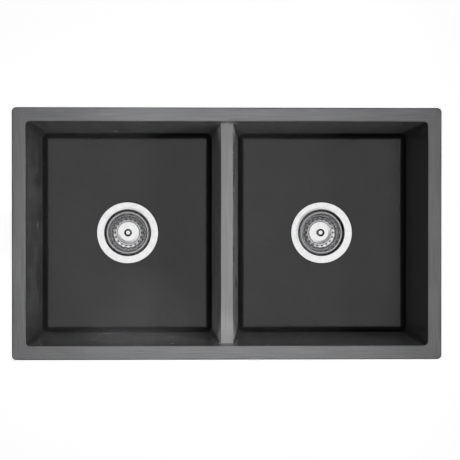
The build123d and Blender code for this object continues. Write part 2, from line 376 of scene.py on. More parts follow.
SMOOTH = {"interpolation_type": "SMOOTHSTEP"}
COLOUR = {"out": 2, "data_type": "RGBA"}  # a Mix node that mixes its inputs 6 and 7
WHITE = (1.0, 1.0, 1.0, 1.0)
NOISE = (0.3, 0.7)  # most of a noise texture's values lie between these
RELIEF = 0.5  # strength of the bumps on the strainers' pieces


def srgb(code: str) -> tuple[float, float, float, float]:
    """Linear colour of an sRGB hex code, with full opacity.

    Args:
        code: Hash sign and six hex digits.

    Returns:
        Red, green, blue and opacity.
    """
    levels = [int(code[i:i + 2], 16) / 255 for i in (1, 3, 5)]
    linear = [v / 12.92 if v <= 0.04045 else ((v + 0.055) / 1.055) ** 2.4 for v in levels]
    return (*linear, 1.0)


def per_mm(size: float) -> float:
    """Texture scale at which one feature of the pattern is this many millimetres."""
    return 1 / (size * MM)


def add(tree: bpy.types.NodeTree, kind: str, inputs: dict | Sequence = (), out: int | str = 0,
        **settings: object) -> bpy.types.NodeSocket | None:
    """Adds a node with its settings, values and links.

    Args:
        tree: The node tree.
        kind: Blender's name of the node type, without the word ShaderNode that it starts with.
        inputs: Values or sockets for the node's inputs, in order, or by name or number.
        out: Name or number of the output that is wanted.
        settings: Attributes of the node.

    Returns:
        The wanted output; a node that ends the tree has none.
    """
    node = tree.nodes.new("ShaderNode" + kind)
    for name, value in settings.items():
        setattr(node, name, value)
    for key, value in inputs.items() if isinstance(inputs, dict) else enumerate(inputs):
        if isinstance(value, bpy.types.NodeSocket):
            tree.links.new(value, node.inputs[key])
        else:
            node.inputs[key].default_value = value
    return node.outputs[out] if node.outputs else None


def fresh_material(name: str) -> tuple[bpy.types.Material, bpy.types.NodeTree]:
    """New material with an empty tree.

    Args:
        name: Name of the material.

    Returns:
        The material and its tree.
    """
    material = bpy.data.materials.new(name)
    material.use_nodes = True
    material.node_tree.nodes.clear()
    return material, material.node_tree


# --- Finishes -----------------------------------------------------------------------------


@dataclass(frozen=True)
class QuartzComposite:
    """Quartz composite: fine quartz sand in black acrylic resin, moulded, with a ground rim.

    The moulded skin is satin and near black. Grinding the rim and the divider's top flat opens the
    sand, which turns them grey, and leaves fine straight scratches along each side. The divider's
    top has paler tones than the rim: painted light, the same ground flat shown brighter.
    """

    skin: str = "#1d1d1e"
    grain: str = "#333334"
    ground: str = "#68686a"
    ground_light: str = "#7c7c7d"
    # Paler tones of the divider's top than of the rim: painted light, the same ground flat shown
    # brighter.
    divider: str = "#707071"
    divider_lit_pale: str = "#7c7c7d"
    rough_back: str = "#262627"
    skin_roughness: float = 0.2
    roughness_drift: float = 0.02
    drift_size: float = 60.0
    ground_roughness: float = 0.5
    back_roughness: float = 0.62
    bloom: float = 0.27  # pale look of the matt skin from a low angle
    bloom_roughness: float = 0.3
    grain_size: float = 0.7  # sand of 0.1 to 0.7 mm, drawn at its coarse end
    dark_grains: float = 0.8  # share of the sand that is as dark as the resin
    middling_grains: float = 0.15  # share that is between dark and pale
    grain_edge: tuple[float, float] = (0.55, 0.25)  # from outside a grain to inside it
    scratch_width: float = 1.6  # real ones are 0.1 mm, too fine to show
    scratch_length: float = 90.0
    scratch_span: tuple[float, float] = (0.3, 0.72)  # noise of the darkest and palest streak
    scratch_depth: float = 0.03
    scratch_strength: float = 0.4
    peel_size: float = 1.5  # orange peel that the mould leaves
    peel_depth: float = 0.015
    peel_strength: float = 0.25
    rim: float = 24.0
    rim_top: tuple[float, float] = (-0.35, -0.05)  # the ground flat starts between these heights
    arris: tuple[float, float] = (-1.3, -0.7)  # and its arris over the bowls between these
    strip_half: float = 23.0  # half of the strip between the bowls
    divider_half: float = 11.6
    divider_low: float = 38.6
    divider_high: float = 37.4
    back_top: float = -8.0  # the rough back starts below the rim's edge
    back_fade: float = 2.0
    fade: float = 0.5  # soft edge of the ground flats
    level_fade: float = 0.3
    facing_fade: float = 0.02
    ior: float = 1.5

    def material(self) -> bpy.types.Material:
        """The finish as a material that reads the basin's own coordinates.

        Returns:
            The material.
        """
        material, tree = fresh_material("quartz_composite")
        where = add(tree, "TexCoord", out="Object")
        axes = add(tree, "SeparateXYZ", (where,)).node.outputs
        x, y, z = [add(tree, "Math", (axis, 1 / MM), operation="MULTIPLY") for axis in axes]
        wide, deep = [add(tree, "Math", (axis,), operation="ABSOLUTE") for axis in (x, y)]
        ground = self.ground_zone(tree, wide, deep, z)
        back = self.back_zone(tree, z)
        side = HALF_WIDTH - self.rim
        strip = add(tree, "MapRange", (wide, self.strip_half + 2 * self.fade, self.strip_half),
                    **SMOOTH)
        between = add(tree, "MapRange", (deep, side + self.fade, side), **SMOOTH)
        between = add(tree, "Math", (strip, between), operation="MULTIPLY")
        scratches = self.scratches(tree, where, wide, deep, between)
        shares = (self.sand(tree, where), scratches, scratches)
        tones = ((self.skin, self.grain), (self.ground, self.ground_light),
                 (self.divider, self.divider_lit_pale))
        skin, rim, divider = [add(tree, "Mix", {0: share, 6: srgb(dark), 7: srgb(pale)}, **COLOUR)
                              for share, (dark, pale) in zip(shares, tones)]
        # Between the bowls the ground flat takes the divider's paler tones, which are painted
        # light.
        colour = add(tree, "Mix", {0: between, 6: rim, 7: divider}, **COLOUR)
        colour = add(tree, "Mix", {0: ground, 6: skin, 7: colour}, **COLOUR)
        colour = add(tree, "Mix", {0: back, 6: colour, 7: srgb(self.rough_back)}, **COLOUR)
        drift = add(tree, "TexNoise", {"Vector": where, "Scale": per_mm(self.drift_size),
                                       "Detail": 3.0})
        rough = add(tree, "MapRange", (drift, *NOISE, self.skin_roughness - self.roughness_drift,
                                       self.skin_roughness + self.roughness_drift), **SMOOTH)
        rough = add(tree, "Mix", {0: ground, 2: rough, 3: self.ground_roughness})
        rough = add(tree, "Mix", {0: back, 2: rough, 3: self.back_roughness})
        shader = add(tree, "BsdfPrincipled", {
            "Base Color": colour, "Roughness": rough, "IOR": self.ior,
            "Sheen Weight": self.bloom, "Sheen Roughness": self.bloom_roughness,
            "Normal": self.relief(tree, where, ground, scratches)})
        add(tree, "OutputMaterial", {"Surface": shader})
        return material

    def ground_zone(self, tree: bpy.types.NodeTree, wide: bpy.types.NodeSocket,
                    deep: bpy.types.NodeSocket, z: bpy.types.NodeSocket) -> bpy.types.NodeSocket:
        """Mask of the ground flats: the rim's top with its inner arris, and the divider's top.

        Args:
            tree: The material's tree.
            wide: Distance from the sink's middle along it, in millimetres.
            deep: Distance from the sink's middle across it.
            z: Height.

        Returns:
            One on the ground flats, and zero elsewhere.
        """
        flat = add(tree, "MapRange", (z, *self.rim_top), **SMOOTH)
        end, side, fade = HALF_LENGTH - self.rim / 2, HALF_WIDTH - self.rim / 2, 2 * self.fade
        off_ends = add(tree, "MapRange", (wide, end + fade, end - fade), **SMOOTH)
        off_sides = add(tree, "MapRange", (deep, side + fade, side - fade), **SMOOTH)
        inside = add(tree, "Math", (off_ends, off_sides), operation="MULTIPLY")
        arris = add(tree, "MapRange", (z, *self.arris), **SMOOTH)
        arris = add(tree, "Math", (inside, arris), operation="MULTIPLY")
        rim = add(tree, "Math", (flat, arris), operation="MAXIMUM")
        inner, low, high = self.divider_half - self.fade, -self.divider_low, -self.divider_high
        near = add(tree, "MapRange", (wide, self.divider_half, inner), **SMOOTH)
        above = add(tree, "MapRange", (z, low, low + self.level_fade), **SMOOTH)
        below = add(tree, "MapRange", (z, high + self.level_fade, high), **SMOOTH)
        divider = add(tree, "Math", (near, above), operation="MULTIPLY")
        divider = add(tree, "Math", (divider, below), operation="MULTIPLY")
        return add(tree, "Math", (rim, divider), operation="MAXIMUM")

    def back_zone(self, tree: bpy.types.NodeTree, z: bpy.types.NodeSocket) -> bpy.types.NodeSocket:
        """Mask of the outside of the bowls, which faces down or level and lies under the rim.

        Args:
            tree: The material's tree.
            z: Height, in millimetres.

        Returns:
            One on the outside, and zero elsewhere.
        """
        normal = add(tree, "NewGeometry", out="Normal")
        facing = add(tree, "SeparateXYZ", (normal,), out="Z")
        down = add(tree, "MapRange", (facing, 0.0, -self.facing_fade), **SMOOTH)
        low = add(tree, "MapRange", (z, self.back_top, self.back_top - self.back_fade), **SMOOTH)
        return add(tree, "Math", (down, low), operation="MULTIPLY")

    def scratches(self, tree: bpy.types.NodeTree, where: bpy.types.NodeSocket,
                  wide: bpy.types.NodeSocket, deep: bpy.types.NodeSocket,
                  between: bpy.types.NodeSocket) -> bpy.types.NodeSocket:
        """Streaks of the grinding, along each side of the rim and along the divider.

        Two noises are stretched along the sink and across it. The second takes over where a point
        is nearer to the sink's end than to its side, and between the bowls.

        Args:
            tree: The material's tree.
            where: The basin's own coordinates.
            wide: Distance from the sink's middle along it, in millimetres.
            deep: Distance from the sink's middle across it.
            between: Mask of the strip between the bowls.

        Returns:
            The streaks, from 0 to 1.
        """
        fine, long = per_mm(self.scratch_width), per_mm(self.scratch_length)
        runs = []
        for scale in ((long, fine, fine), (fine, long, fine)):
            stretched = add(tree, "Mapping", {"Vector": where, "Scale": scale})
            noise = add(tree, "TexNoise", {"Vector": stretched, "Scale": 1.0, "Detail": 4.0,
                                           "Roughness": 0.65})
            runs.append(add(tree, "MapRange", (noise, *self.scratch_span), **SMOOTH))
        to_end = add(tree, "Math", (HALF_LENGTH, wide), operation="SUBTRACT")
        to_side = add(tree, "Math", (HALF_WIDTH, deep), operation="SUBTRACT")
        mitre = add(tree, "Math", (to_end, to_side), operation="SUBTRACT")
        end_rim = add(tree, "MapRange", (mitre, 2 * self.fade, -2 * self.fade), **SMOOTH)
        crosswise = add(tree, "Math", (end_rim, between), operation="MAXIMUM")
        return add(tree, "Mix", {0: crosswise, 2: runs[0], 3: runs[1]})

    def sand(self, tree: bpy.types.NodeTree, where: bpy.types.NodeSocket) -> bpy.types.NodeSocket:
        """Mask of the paler sand grains that show in the skin.

        Args:
            tree: The material's tree.
            where: The basin's own coordinates.

        Returns:
            One on the pale grains, and zero between them.
        """
        cell = add(tree, "TexVoronoi", {"Vector": where, "Scale": per_mm(self.grain_size)}).node
        chance = add(tree, "SeparateColor", (cell.outputs["Color"],))
        pale = add(tree, "MapRange", (chance, self.dark_grains,
                                      self.dark_grains + self.middling_grains), **SMOOTH)
        body = add(tree, "MapRange", (cell.outputs["Distance"], *self.grain_edge), **SMOOTH)
        return add(tree, "Math", (pale, body), operation="MULTIPLY")

    def relief(self, tree: bpy.types.NodeTree, where: bpy.types.NodeSocket,
               ground: bpy.types.NodeSocket, scratches: bpy.types.NodeSocket,
               ) -> bpy.types.NodeSocket:
        """Fine orange peel of the moulded skin, and the scratches of the ground flats.

        Args:
            tree: The material's tree.
            where: The basin's own coordinates.
            ground: Mask of the ground flats.
            scratches: Streaks of the grinding.

        Returns:
            The bumped normal.
        """
        peel = add(tree, "TexNoise", {"Vector": where, "Scale": per_mm(self.peel_size),
                                      "Detail": 2.0})
        moulded = add(tree, "Bump", {"Strength": self.peel_strength,
                                     "Distance": self.peel_depth * MM, "Height": peel})
        cut = add(tree, "Math", (scratches, ground), operation="MULTIPLY")
        return add(tree, "Bump", {"Strength": self.scratch_strength,
                                  "Distance": self.scratch_depth * MM, "Height": cut,
                                  "Normal": moulded})


class Lay(Enum):
    """Direction of the fine marks on a metal."""

    ROUND = "round"
    LENGTHWISE = "lengthwise"


@dataclass(frozen=True)
class Metal:
    """Bare or plated metal with the fine marks of how it was made.

    Polishing on a lathe leaves rings about the axis, drawing leaves lines along it, and a plated
    casting keeps a faint grain.
    """

    name: str
    colour: str
    roughness: float
    spread: float = 0.05  # how far the roughness wanders
    lay: Lay = Lay.ROUND
    mark: float = 0.5  # mm between marks; polishing lines of 0.05 mm are too fine to show
    mark_depth: float = 0.004
    grain: float = 0.0  # mm, of a casting
    grain_depth: float = 0.03
    shade: tuple[float, float, float, float] = (0.35, 0.35, 0.36, 1.0)  # linear, of the haze
    haze_size: float = 9.0
    haze_span: tuple[float, float] = (0.25, 0.75)
    haze: float = 0.12  # its greatest share in the colour
    mark_share: float = 0.4  # of the marks in the roughness, beside the haze
    line_radius: float = 20.0  # radius at which drawn lines have their spacing
    line_slant: float = 0.02  # share of the height that shifts a line's pattern
    ring_drift: float = 0.15  # mm that a ring wanders in each radian

    def material(self, axis: tuple[float, float]) -> bpy.types.Material:
        """The finish about an upright axis.

        Args:
            axis: Where the axis stands, in metres.

        Returns:
            The material.
        """
        material, tree = fresh_material(self.name)
        where = add(tree, "TexCoord", out="Object")
        local = add(tree, "Mapping", {"Vector": where, "Location": (-axis[0], -axis[1], 0)})
        marks = add(tree, "TexNoise", {"Vector": self.pattern(tree, local),
                                       "Scale": per_mm(self.mark), "Detail": 3.0,
                                       "Roughness": 0.7})
        haze = add(tree, "TexNoise", {"Vector": local, "Scale": per_mm(self.haze_size),
                                      "Detail": 4.0})
        wander = add(tree, "Mix", {0: self.mark_share, 2: haze, 3: marks})
        rough = add(tree, "MapRange", (wander, *NOISE, self.roughness - self.spread,
                                       self.roughness + self.spread), **SMOOTH)
        tone = add(tree, "MapRange", (haze, *self.haze_span, 0.0, self.haze), **SMOOTH)
        colour = add(tree, "Mix", {0: tone, 6: srgb(self.colour), 7: self.shade}, **COLOUR)
        normal = add(tree, "Bump", {"Strength": RELIEF, "Distance": self.mark_depth * MM,
                                    "Height": marks})
        if self.grain:
            cast = add(tree, "TexNoise", {"Vector": local, "Scale": per_mm(self.grain),
                                          "Detail": 2.0})
            normal = add(tree, "Bump", {"Strength": RELIEF, "Distance": self.grain_depth * MM,
                                        "Height": cast, "Normal": normal})
        shader = add(tree, "BsdfPrincipled", {"Base Color": colour, "Roughness": rough,
                                              "Metallic": 1.0, "Normal": normal})
        add(tree, "OutputMaterial", {"Surface": shader})
        return material

    def pattern(self, tree: bpy.types.NodeTree, local: bpy.types.NodeSocket,
                ) -> bpy.types.NodeSocket:
        """Coordinates that stretch a noise into the metal's marks.

        Rings follow the radius and the height and change slowly with the angle. Drawn lines follow
        the way round and change slowly with the height.

        Args:
            tree: The material's tree.
            local: Coordinates about the piece's axis.

        Returns:
            The noise's coordinates.
        """
        x, y, z = add(tree, "SeparateXYZ", (local,)).node.outputs
        flat = add(tree, "CombineXYZ", (x, y))
        radius = add(tree, "VectorMath", (flat,), "Value", operation="LENGTH")
        angle = add(tree, "Math", (y, x), operation="ARCTAN2")
        if self.lay is Lay.LENGTHWISE:
            arc = add(tree, "Math", (angle, self.line_radius * MM), operation="MULTIPLY")
            along = add(tree, "Math", (z, self.line_slant), operation="MULTIPLY")
            return add(tree, "CombineXYZ", (arc, along))
        drift = add(tree, "Math", (angle, self.ring_drift * MM), operation="MULTIPLY")
        return add(tree, "CombineXYZ", (radius, drift, z))


@dataclass(frozen=True)
class Polymer:
    """Rubber, nylon or pressed fibre: a dull or satin skin over an uneven body colour."""

    name: str
    colour: str
    second: str
    roughness: float
    spread: float = 0.06  # how far the roughness wanders
    patch: float = 3.0  # mm, of the colour's unevenness
    grain: float = 0.4  # mm, of the skin
    grain_depth: float = 0.02
    ior: float = 1.5
    milky: float = 0.0  # share of light that goes into the body
    milky_depth: float = 1.5

    def material(self, axis: tuple[float, float]) -> bpy.types.Material:
        """The finish as a material.

        Args:
            axis: Where the piece's axis stands, in metres; the pattern starts there.

        Returns:
            The material.
        """
        material, tree = fresh_material(self.name)
        where = add(tree, "TexCoord", out="Object")
        local = add(tree, "Mapping", {"Vector": where, "Location": (-axis[0], -axis[1], 0)})
        blotch = add(tree, "TexNoise", {"Vector": local, "Scale": per_mm(self.patch),
                                        "Detail": 4.0})
        share = add(tree, "MapRange", (blotch, *NOISE), **SMOOTH)
        colour = add(tree, "Mix", {0: share, 6: srgb(self.colour), 7: srgb(self.second)}, **COLOUR)
        grain = add(tree, "TexNoise", {"Vector": local, "Scale": per_mm(self.grain),
                                       "Detail": 2.0})
        rough = add(tree, "MapRange", (grain, *NOISE, self.roughness - self.spread,
                                       self.roughness + self.spread), **SMOOTH)
        normal = add(tree, "Bump", {"Strength": RELIEF, "Distance": self.grain_depth * MM,
                                    "Height": grain})
        shader = add(tree, "BsdfPrincipled", {
            "Base Color": colour, "Roughness": rough, "IOR": self.ior, "Normal": normal,
            "Subsurface Weight": self.milky, "Subsurface Scale": self.milky_depth * MM})
        add(tree, "OutputMaterial", {"Surface": shader})
        return material


# Drawn and polished 18/10 stainless steel: bright, with faint polishing rings.
POLISHED_STEEL = Metal("polished_stainless_steel", "#dadadb", 0.15, mark_depth=0.003)
# Drawn stainless tube and rod, left as it comes from the die: fine lines along it.
DRAWN_STEEL = Metal("drawn_stainless_steel", "#c6c6c4", 0.30, lay=Lay.LENGTHWISE, mark=0.6,
                    mark_depth=0.006)
# Flat stainless pressings: satin both sides.
PRESSED_STEEL = Metal("pressed_stainless_steel", "#c2c2c1", 0.34, mark=0.7)
# Zinc die casting, mopped on a lathe and plated with thin satin chromium: bluish, with faint
# rings over a faint grain.
PLATED_ZINC = Metal("plated_zinc_casting", "#b9babd", 0.27, grain=1.2)
# Black nitrile rubber, moulded, with a dull bloom.
NITRILE = Polymer("black_nitrile_rubber", "#161616", "#1f1f20", 0.68)
# Vulcanised fibre, stamped from sheet: brown and mottled.
FIBRE = Polymer("vulcanised_fibre", "#8c7048", "#7a5f3c", 0.75, patch=5.0, grain=0.6,
                grain_depth=0.04)
# Natural nylon, moulded: milky and satin.
NYLON = Polymer("natural_nylon", "#dcd9cd", "#d2cfc2", 0.42, ior=1.53, milky=0.3)


@dataclass
class Workshop:
    """Makes the pieces of one strainer: places them and dresses them."""

    side: Side
    axis: tuple[float, float]
    floor: float
    finishes: dict[str, bpy.types.Material] = field(default_factory=dict)

    def finish(self, kind: Metal | Polymer) -> bpy.types.Material:
        """The material of a finish about this drain's axis, made once.

        Args:
            kind: The finish.

        Returns:
            Its material.
        """
        if kind.name not in self.finishes:
            self.finishes[kind.name] = kind.material(self.axis)
        return self.finishes[kind.name]

    def make(self, piece: str, shape: str, patches: Iterable[Patch], kind: Metal | Polymer,
             slot: str, body: str) -> bpy.types.Object:
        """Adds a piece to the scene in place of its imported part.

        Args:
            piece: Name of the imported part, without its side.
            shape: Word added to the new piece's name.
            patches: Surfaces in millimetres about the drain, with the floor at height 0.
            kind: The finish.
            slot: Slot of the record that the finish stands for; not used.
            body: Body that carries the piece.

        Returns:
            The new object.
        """
        name = f"{self.side.value}_{piece}_{shape}"
        place = np.array([*self.axis, self.floor])
        made = bpy.data.objects.new(name, mesh_of(name, patches, place))
        bpy.context.scene.collection.objects.link(made)
        made.data.materials.append(self.finish(kind))
        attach(made, body)
        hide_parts(f"{self.side.value}_{piece}")
        LOG.info("%s: %d faces", name, len(made.data.polygons))
        return made


# --- The sink -----------------------------------------------------------------------------


@dataclass
class Basin:
    """The moulding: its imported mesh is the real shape, so it only gets its finish."""

    node: str = "basin"
    finish: QuartzComposite = field(default_factory=QuartzComposite)

    def dress(self) -> None:
        """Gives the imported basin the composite."""
        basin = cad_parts[self.node]
        basin.data.materials.clear()
        basin.data.materials.append(self.finish.material())
        LOG.info("%s: %d faces", self.node, len(basin.data.polygons))


@dataclass
class DrainSeat:
    """Dished recess of the floor, and what its slope gives the pieces that lie in it."""

    recess_r: float = 58.5
    hole_r: float = 45.0
    step_down: float = 2.2
    fall: float = 2.0
    floor_thickness: float = 9.0
    boss: float = 3.0

    @property
    def slope(self) -> float:
        """Fall of the dish for each millimetre towards the hole."""
        return self.fall / (self.recess_r - self.hole_r)

    def height(self, radius: float) -> float:
        """Height of the dish at a radius."""
        return -self.step_down - self.slope * (self.recess_r - radius)

    @property
    def underside(self) -> float:
        """Height of the boss's underside."""
        return -self.floor_thickness - self.boss


@dataclass
class StrainerBody:
    """Drawn flange, threaded cup, cone and neck, with the stopper's seat."""

    seat: DrainSeat
    flange_r: float = 57.0
    sheet: float = 1.0
    gasket: float = 1.2
    cup_r: float = 42.5
    shoulder_r: float = 47.8  # the flange dips a little more from here to its bend
    shoulder_fall: float = 1.17
    bends: tuple[float, ...] = (8.0, 2.0, 4.0, 4.0, 1.5)  # shoulder, cup, cone and neck
    cone_top: float = -27.58
    cone_foot_r: float = 29.5
    neck_r: float = 21.2
    neck_top: float = -45.5
    neck_bottom: float = -72.0
    seat_r: float = 16.5
    seat_top: float = -47.0
    seat_sheet: float = 1.2
    seat_edge: float = 0.35
    pitch: float = 2.3  # rolled thread of a 90 mm strainer, 11 to the inch
    thread_depth: float = 0.45
    rows_per_thread: int = 9
    cup_thread_top: float = -8.5
    cup_plain: float = 1.0  # length without a thread above the cone
    neck_plain: float = 9.0  # and below the neck's top
    neck_lead: float = 0.4

    def line(self) -> np.ndarray:
        """The seen surface, from the flange's edge down to the end of the neck.

        Returns:
            Its (radius, height) points.
        """
        lift = self.gasket + self.sheet * math.hypot(1, self.seat.slope)
        cone_low = self.cone_top - (self.cup_r - self.cone_foot_r)
        shoulder = self.seat.height(self.shoulder_r) + lift
        points = [(self.flange_r, self.seat.height(self.flange_r) + lift),
                  (self.shoulder_r, shoulder), (self.cup_r, shoulder - self.shoulder_fall),
                  (self.cup_r, self.cone_top), (self.cone_foot_r, cone_low),
                  (self.neck_r, self.neck_top), (self.neck_r, self.neck_bottom)]
        return rounded(points, self.bends)

    def surfaces(self) -> list[Patch]:
        """Sheet with rolled threads on the cup and the neck, and the seat's ring.

        Returns:
            The body's patches.
        """
        section = sheet_loop(self.line(), self.sheet)
        threads = [(self.cone_top + self.cup_plain, self.cup_thread_top),
                   (self.neck_bottom + self.neck_lead, self.neck_top - self.neck_plain)]
        for low, high in threads:
            section = with_rows(section, low, high, self.pitch / self.rows_per_thread)
        radius, height = section[:, :1], section[:, 1:]
        for low, high in threads:
            radius = radius - thread_wave(height, EVEN_ANGLES, low, high, self.pitch,
                                          self.thread_depth)
        shell = np.stack(np.broadcast_arrays(radius, height), -1)
        ring = flat_ring(self.seat_r, self.neck_r + self.sheet / 2, self.seat_top,
                         self.seat_sheet, self.seat_edge)
        return [turned(shell), ring]


@dataclass
class ClampRings:
    """Flat rings that seal the strainer to the floor from above and below."""

    seat: DrainSeat
    gasket_outer: float = 56.0
    gasket_width: float = 7.5
    gasket: float = 1.2
    washer_width: float = 11.0
    washer: float = 3.0
    friction: float = 1.2
    outlet_inner: float = 18.0
    outlet_outer: float = 22.2
    outlet_top: float = -72.0
    outlet: float = 2.0
    soft_edge: float = 0.5
    moulded_edge: float = 0.3
    stamped_edge: float = 0.15

    def flange_gasket(self) -> list[Patch]:
        """Soft ring that follows the dish under the flange.

        Returns:
            The ring's patch.
        """
        inner, outer = self.gasket_outer - self.gasket_width, self.gasket_outer
        low, high = self.seat.height(inner), self.seat.height(outer)
        corners = [(inner, low), (outer, high), (outer, high + self.gasket),
                   (inner, low + self.gasket)]
        return [turned(closed_section(corners, self.moulded_edge))]

    def under_washer(self) -> list[Patch]:
        """Rubber washer against the boss."""
        inner, top = self.seat.hole_r, self.seat.underside
        return [flat_ring(inner, inner + self.washer_width, top, self.washer, self.soft_edge)]

    def friction_ring(self) -> list[Patch]:
        """Slip ring under the rubber washer."""
        inner, top = self.seat.hole_r, self.seat.underside - self.washer
        return [flat_ring(inner, inner + self.washer_width, top, self.friction, self.stamped_edge)]

    def tailpiece_washer(self) -> list[Patch]:
        """Flat washer between the neck and the tailpiece."""
        return [flat_ring(self.outlet_inner, self.outlet_outer, self.outlet_top, self.outlet,
                          self.moulded_edge)]


@dataclass
class Locknut:
    """Cast ring nut on the cup's thread, with six lugs for a spanner or a screwdriver."""

    top: float = -16.2
    height: float = 12.0
    bore: float = 43.6
    wall: float = 8.0
    edge: float = 0.6
    lugs: int = 6
    lug_reach: float = 5.0
    lug_half_width: float = 6.0
    lug_share: float = 0.7  # of the nut's height
    blend: float = 0.4  # rounding where a lug's faces meet each other and the ring
    lug_fade: float = 2.0  # depth over which a lug grows out of the ring
    lug_edge: float = 0.8  # height over which its top fades out
    closer_out: float = 0.05  # radians beside a lug's flank with closer points
    closer_in: float = 0.04
    pitch: float = 2.3
    thread_depth: float = 0.4
    thread_row: float = 0.35

    def angles(self, flank: float) -> np.ndarray:
        """Angles round one lug, from the middle of one gap to the next, closer at its flanks.

        Args:
            flank: Angle between a lug's middle and its flank.

        Returns:
            The angles from the lug's middle.
        """
        out, inward = flank + self.closer_out, flank - self.closer_in
        sector = FULL_TURN / self.lugs
        stops = (-sector / 2, -out, -inward, inward, out, sector / 2)
        points_between = (5, 9, 8, 9, 5)
        return np.concatenate([np.linspace(start, end, count, endpoint=False)
                               for start, end, count in zip(stops, stops[1:], points_between)])

    def surfaces(self) -> list[Patch]:
        """The nut's outline at each height.

        Round the nut, a lug is a bar whose edge lies at the smaller of end / cos a and
        half width / |sin a| for the angle a from its middle. The outline is the larger of that
        and the nut's own radius, and the lugs fade out above their height.

        Returns:
            The nut's patch.
        """
        low, outer = self.top - self.height, self.bore + self.wall
        section = closed_section([(self.bore, low), (outer, low), (outer, self.top),
                                  (self.bore, self.top)], self.edge)
        section = with_rows(section, low, self.top, self.thread_row)
        from_lug = self.angles(math.asin(self.lug_half_width / outer))
        lug_middles = np.arange(self.lugs)[:, None] * FULL_TURN / self.lugs
        angle = (from_lug + lug_middles).ravel()
        from_lug = np.tile(from_lug, self.lugs)
        end = (outer + self.lug_reach) / np.cos(from_lug)
        flank = self.lug_half_width / np.maximum(np.abs(np.sin(from_lug)), 1e-6)
        lug = soft_min(end, flank, self.blend)
        lug = -soft_min(np.full_like(end, -outer), -lug, self.blend)
        radius, height = section[:, :1], section[:, 1:]
        lug_top = low + self.height * self.lug_share
        rise = np.clip((lug_top - height) / self.lug_edge + 0.5, 0, 1)
        rise = rise * np.clip((height - low + 0.1) / self.edge, 0, 1)
        outside = np.clip((radius - outer + self.lug_fade) / self.lug_fade, 0, 1)
        swept = radius + (lug - outer) * outside * rise ** 0.5
        cut = thread_wave(height, angle, low, self.top, self.pitch, self.thread_depth)
        bored = np.where(radius < self.bore + SNUG, radius + cut, swept)
        return [turned(np.stack(np.broadcast_arrays(bored, height), -1), around=angle)]


@dataclass
class HexNut:
    """Six-sided nut: the smaller of a turned blank and the six flats at each height."""

    flats: float
    low: float
    height: float
    bore: float
    chamfer: float
    pitch: float
    thread_depth: float
    lip: float = 0.0  # height of a collar at the bottom
    lip_bore: float = 0.0
    edge: float = 0.25
    lead: float = 0.6  # bevel at the bore's mouth
    steepness: float = 0.6  # height of the chamfer as a share of its width
    blend: float = 0.12  # rounding between the blank and the flats
    rows_per_thread: int = 8

    def surfaces(self) -> list[Patch]:
        """The nut about its axis.

        The flats' radius at an angle is half the width across flats over the cosine of the angle
        from the middle of the nearest flat.

        Returns:
            The nut's patch.
        """
        corner = self.flats / 2 / math.cos(math.pi / 6)
        high, crown = self.low + self.height, corner - self.chamfer
        ledge, slant = self.low + self.lip, self.chamfer * self.steepness
        bore = [(self.bore + self.lead, high), (self.bore, high - self.lead), (self.bore, ledge)]
        if self.lip:
            bore += [(self.lip_bore, ledge), (self.lip_bore, self.low)]
        blank = [(crown, self.low), (corner, self.low + slant), (corner, high - slant),
                 (crown, high), *bore]
        section = closed_section(blank, self.edge)
        section = with_rows(section, ledge, high, self.pitch / self.rows_per_thread)
        sector = math.pi / 3
        from_flat = np.mod(EVEN_ANGLES, sector) - sector / 2
        flat = np.broadcast_to(self.flats / 2 / np.cos(from_flat), (len(section), AROUND))
        radius, height = section[:, :1], section[:, 1:]
        outer = soft_min(np.broadcast_to(radius, flat.shape), flat, self.blend)
        cut = thread_wave(height, EVEN_ANGLES, ledge, high, self.pitch, self.thread_depth)
        inner = radius + cut * (radius > self.bore - SNUG)
        bored = np.where(radius < self.bore + SNUG, inner, outer)
        return [turned(np.stack(np.broadcast_arrays(bored, height), -1))]


# Holds the tailpiece to the neck: its collar catches the tailpiece's flange.
COUPLING_NUT = HexNut(flats=54.0, low=-78.5, height=22.0, bore=22.3, chamfer=1.5, pitch=2.3,
                      thread_depth=0.4, lip=3.0, lip_bore=20.0)


@dataclass
class Tailpiece:
    """Drawn outlet tube with a flange turned out at its top and a chamfered end."""

    top: float = -74.0
    flange: float = 1.5
    flange_r: float = 22.2
    tube_r: float = 19.0
    wall: float = 1.0
    length: float = 75.0
    end_land: float = 0.3  # flat left at the chamfered end
    end_chamfer: float = 0.6
    bends: tuple[float, ...] = (0.1, 0.1, 0.2, 0.6, 0.4, 0.4)

    def surfaces(self) -> list[Patch]:
        """Tube and flange from one sheet, with a bend between them.

        Returns:
            The tailpiece's patch.
        """
        under, bore = self.top - self.flange, self.tube_r - self.wall
        low = under - self.length
        line = rounded([(bore, self.top), (bore, low), (bore + self.end_land, low),
                        (self.tube_r, low + self.end_chamfer), (self.tube_r, under),
                        (self.flange_r, under), (self.flange_r, self.top), (bore, self.top)],
                       self.bends)
        return [turned(line[:-1])]


@dataclass
class SheetRun:
    """Seen surface of a sheet as a line, with places on it told by their length along it."""

    line: np.ndarray
    run: np.ndarray = field(init=False)
    normal: np.ndarray = field(init=False)

    def __post_init__(self) -> None:
        """Works out the length up to each point of the line, and the line's sides."""
        steps = np.linalg.norm(np.diff(self.line, axis=0), axis=1)
        self.run = np.concatenate([[0], np.cumsum(steps)])
        self.normal = sides_of(self.line)

    def place(self, length: np.ndarray | float, lift: np.ndarray | float) -> np.ndarray:
        """Places along the line, moved off it by a lift along its normal.

        Args:
            length: Lengths along the line.
            lift: Distance from the line; a negative one lies inside the sheet.

        Returns:
            Radius and height of each place.
        """
        radius, height, out, up = (np.interp(length, self.run, values)
                                   for values in (*self.line.T, *self.normal.T))
        return np.stack([radius + out * lift, height + up * lift], -1)

    def length_at(self, radius: float, under: float) -> float:
        """Length at which the line reaches a radius, in its part that lies under a height.

        Args:
            radius: The radius.
            under: The height.

        Returns:
            The length along the line.
        """
        low = np.flatnonzero(self.line[:, 1] < under)
        return float(np.interp(radius, self.line[low, 0], self.run[low]))


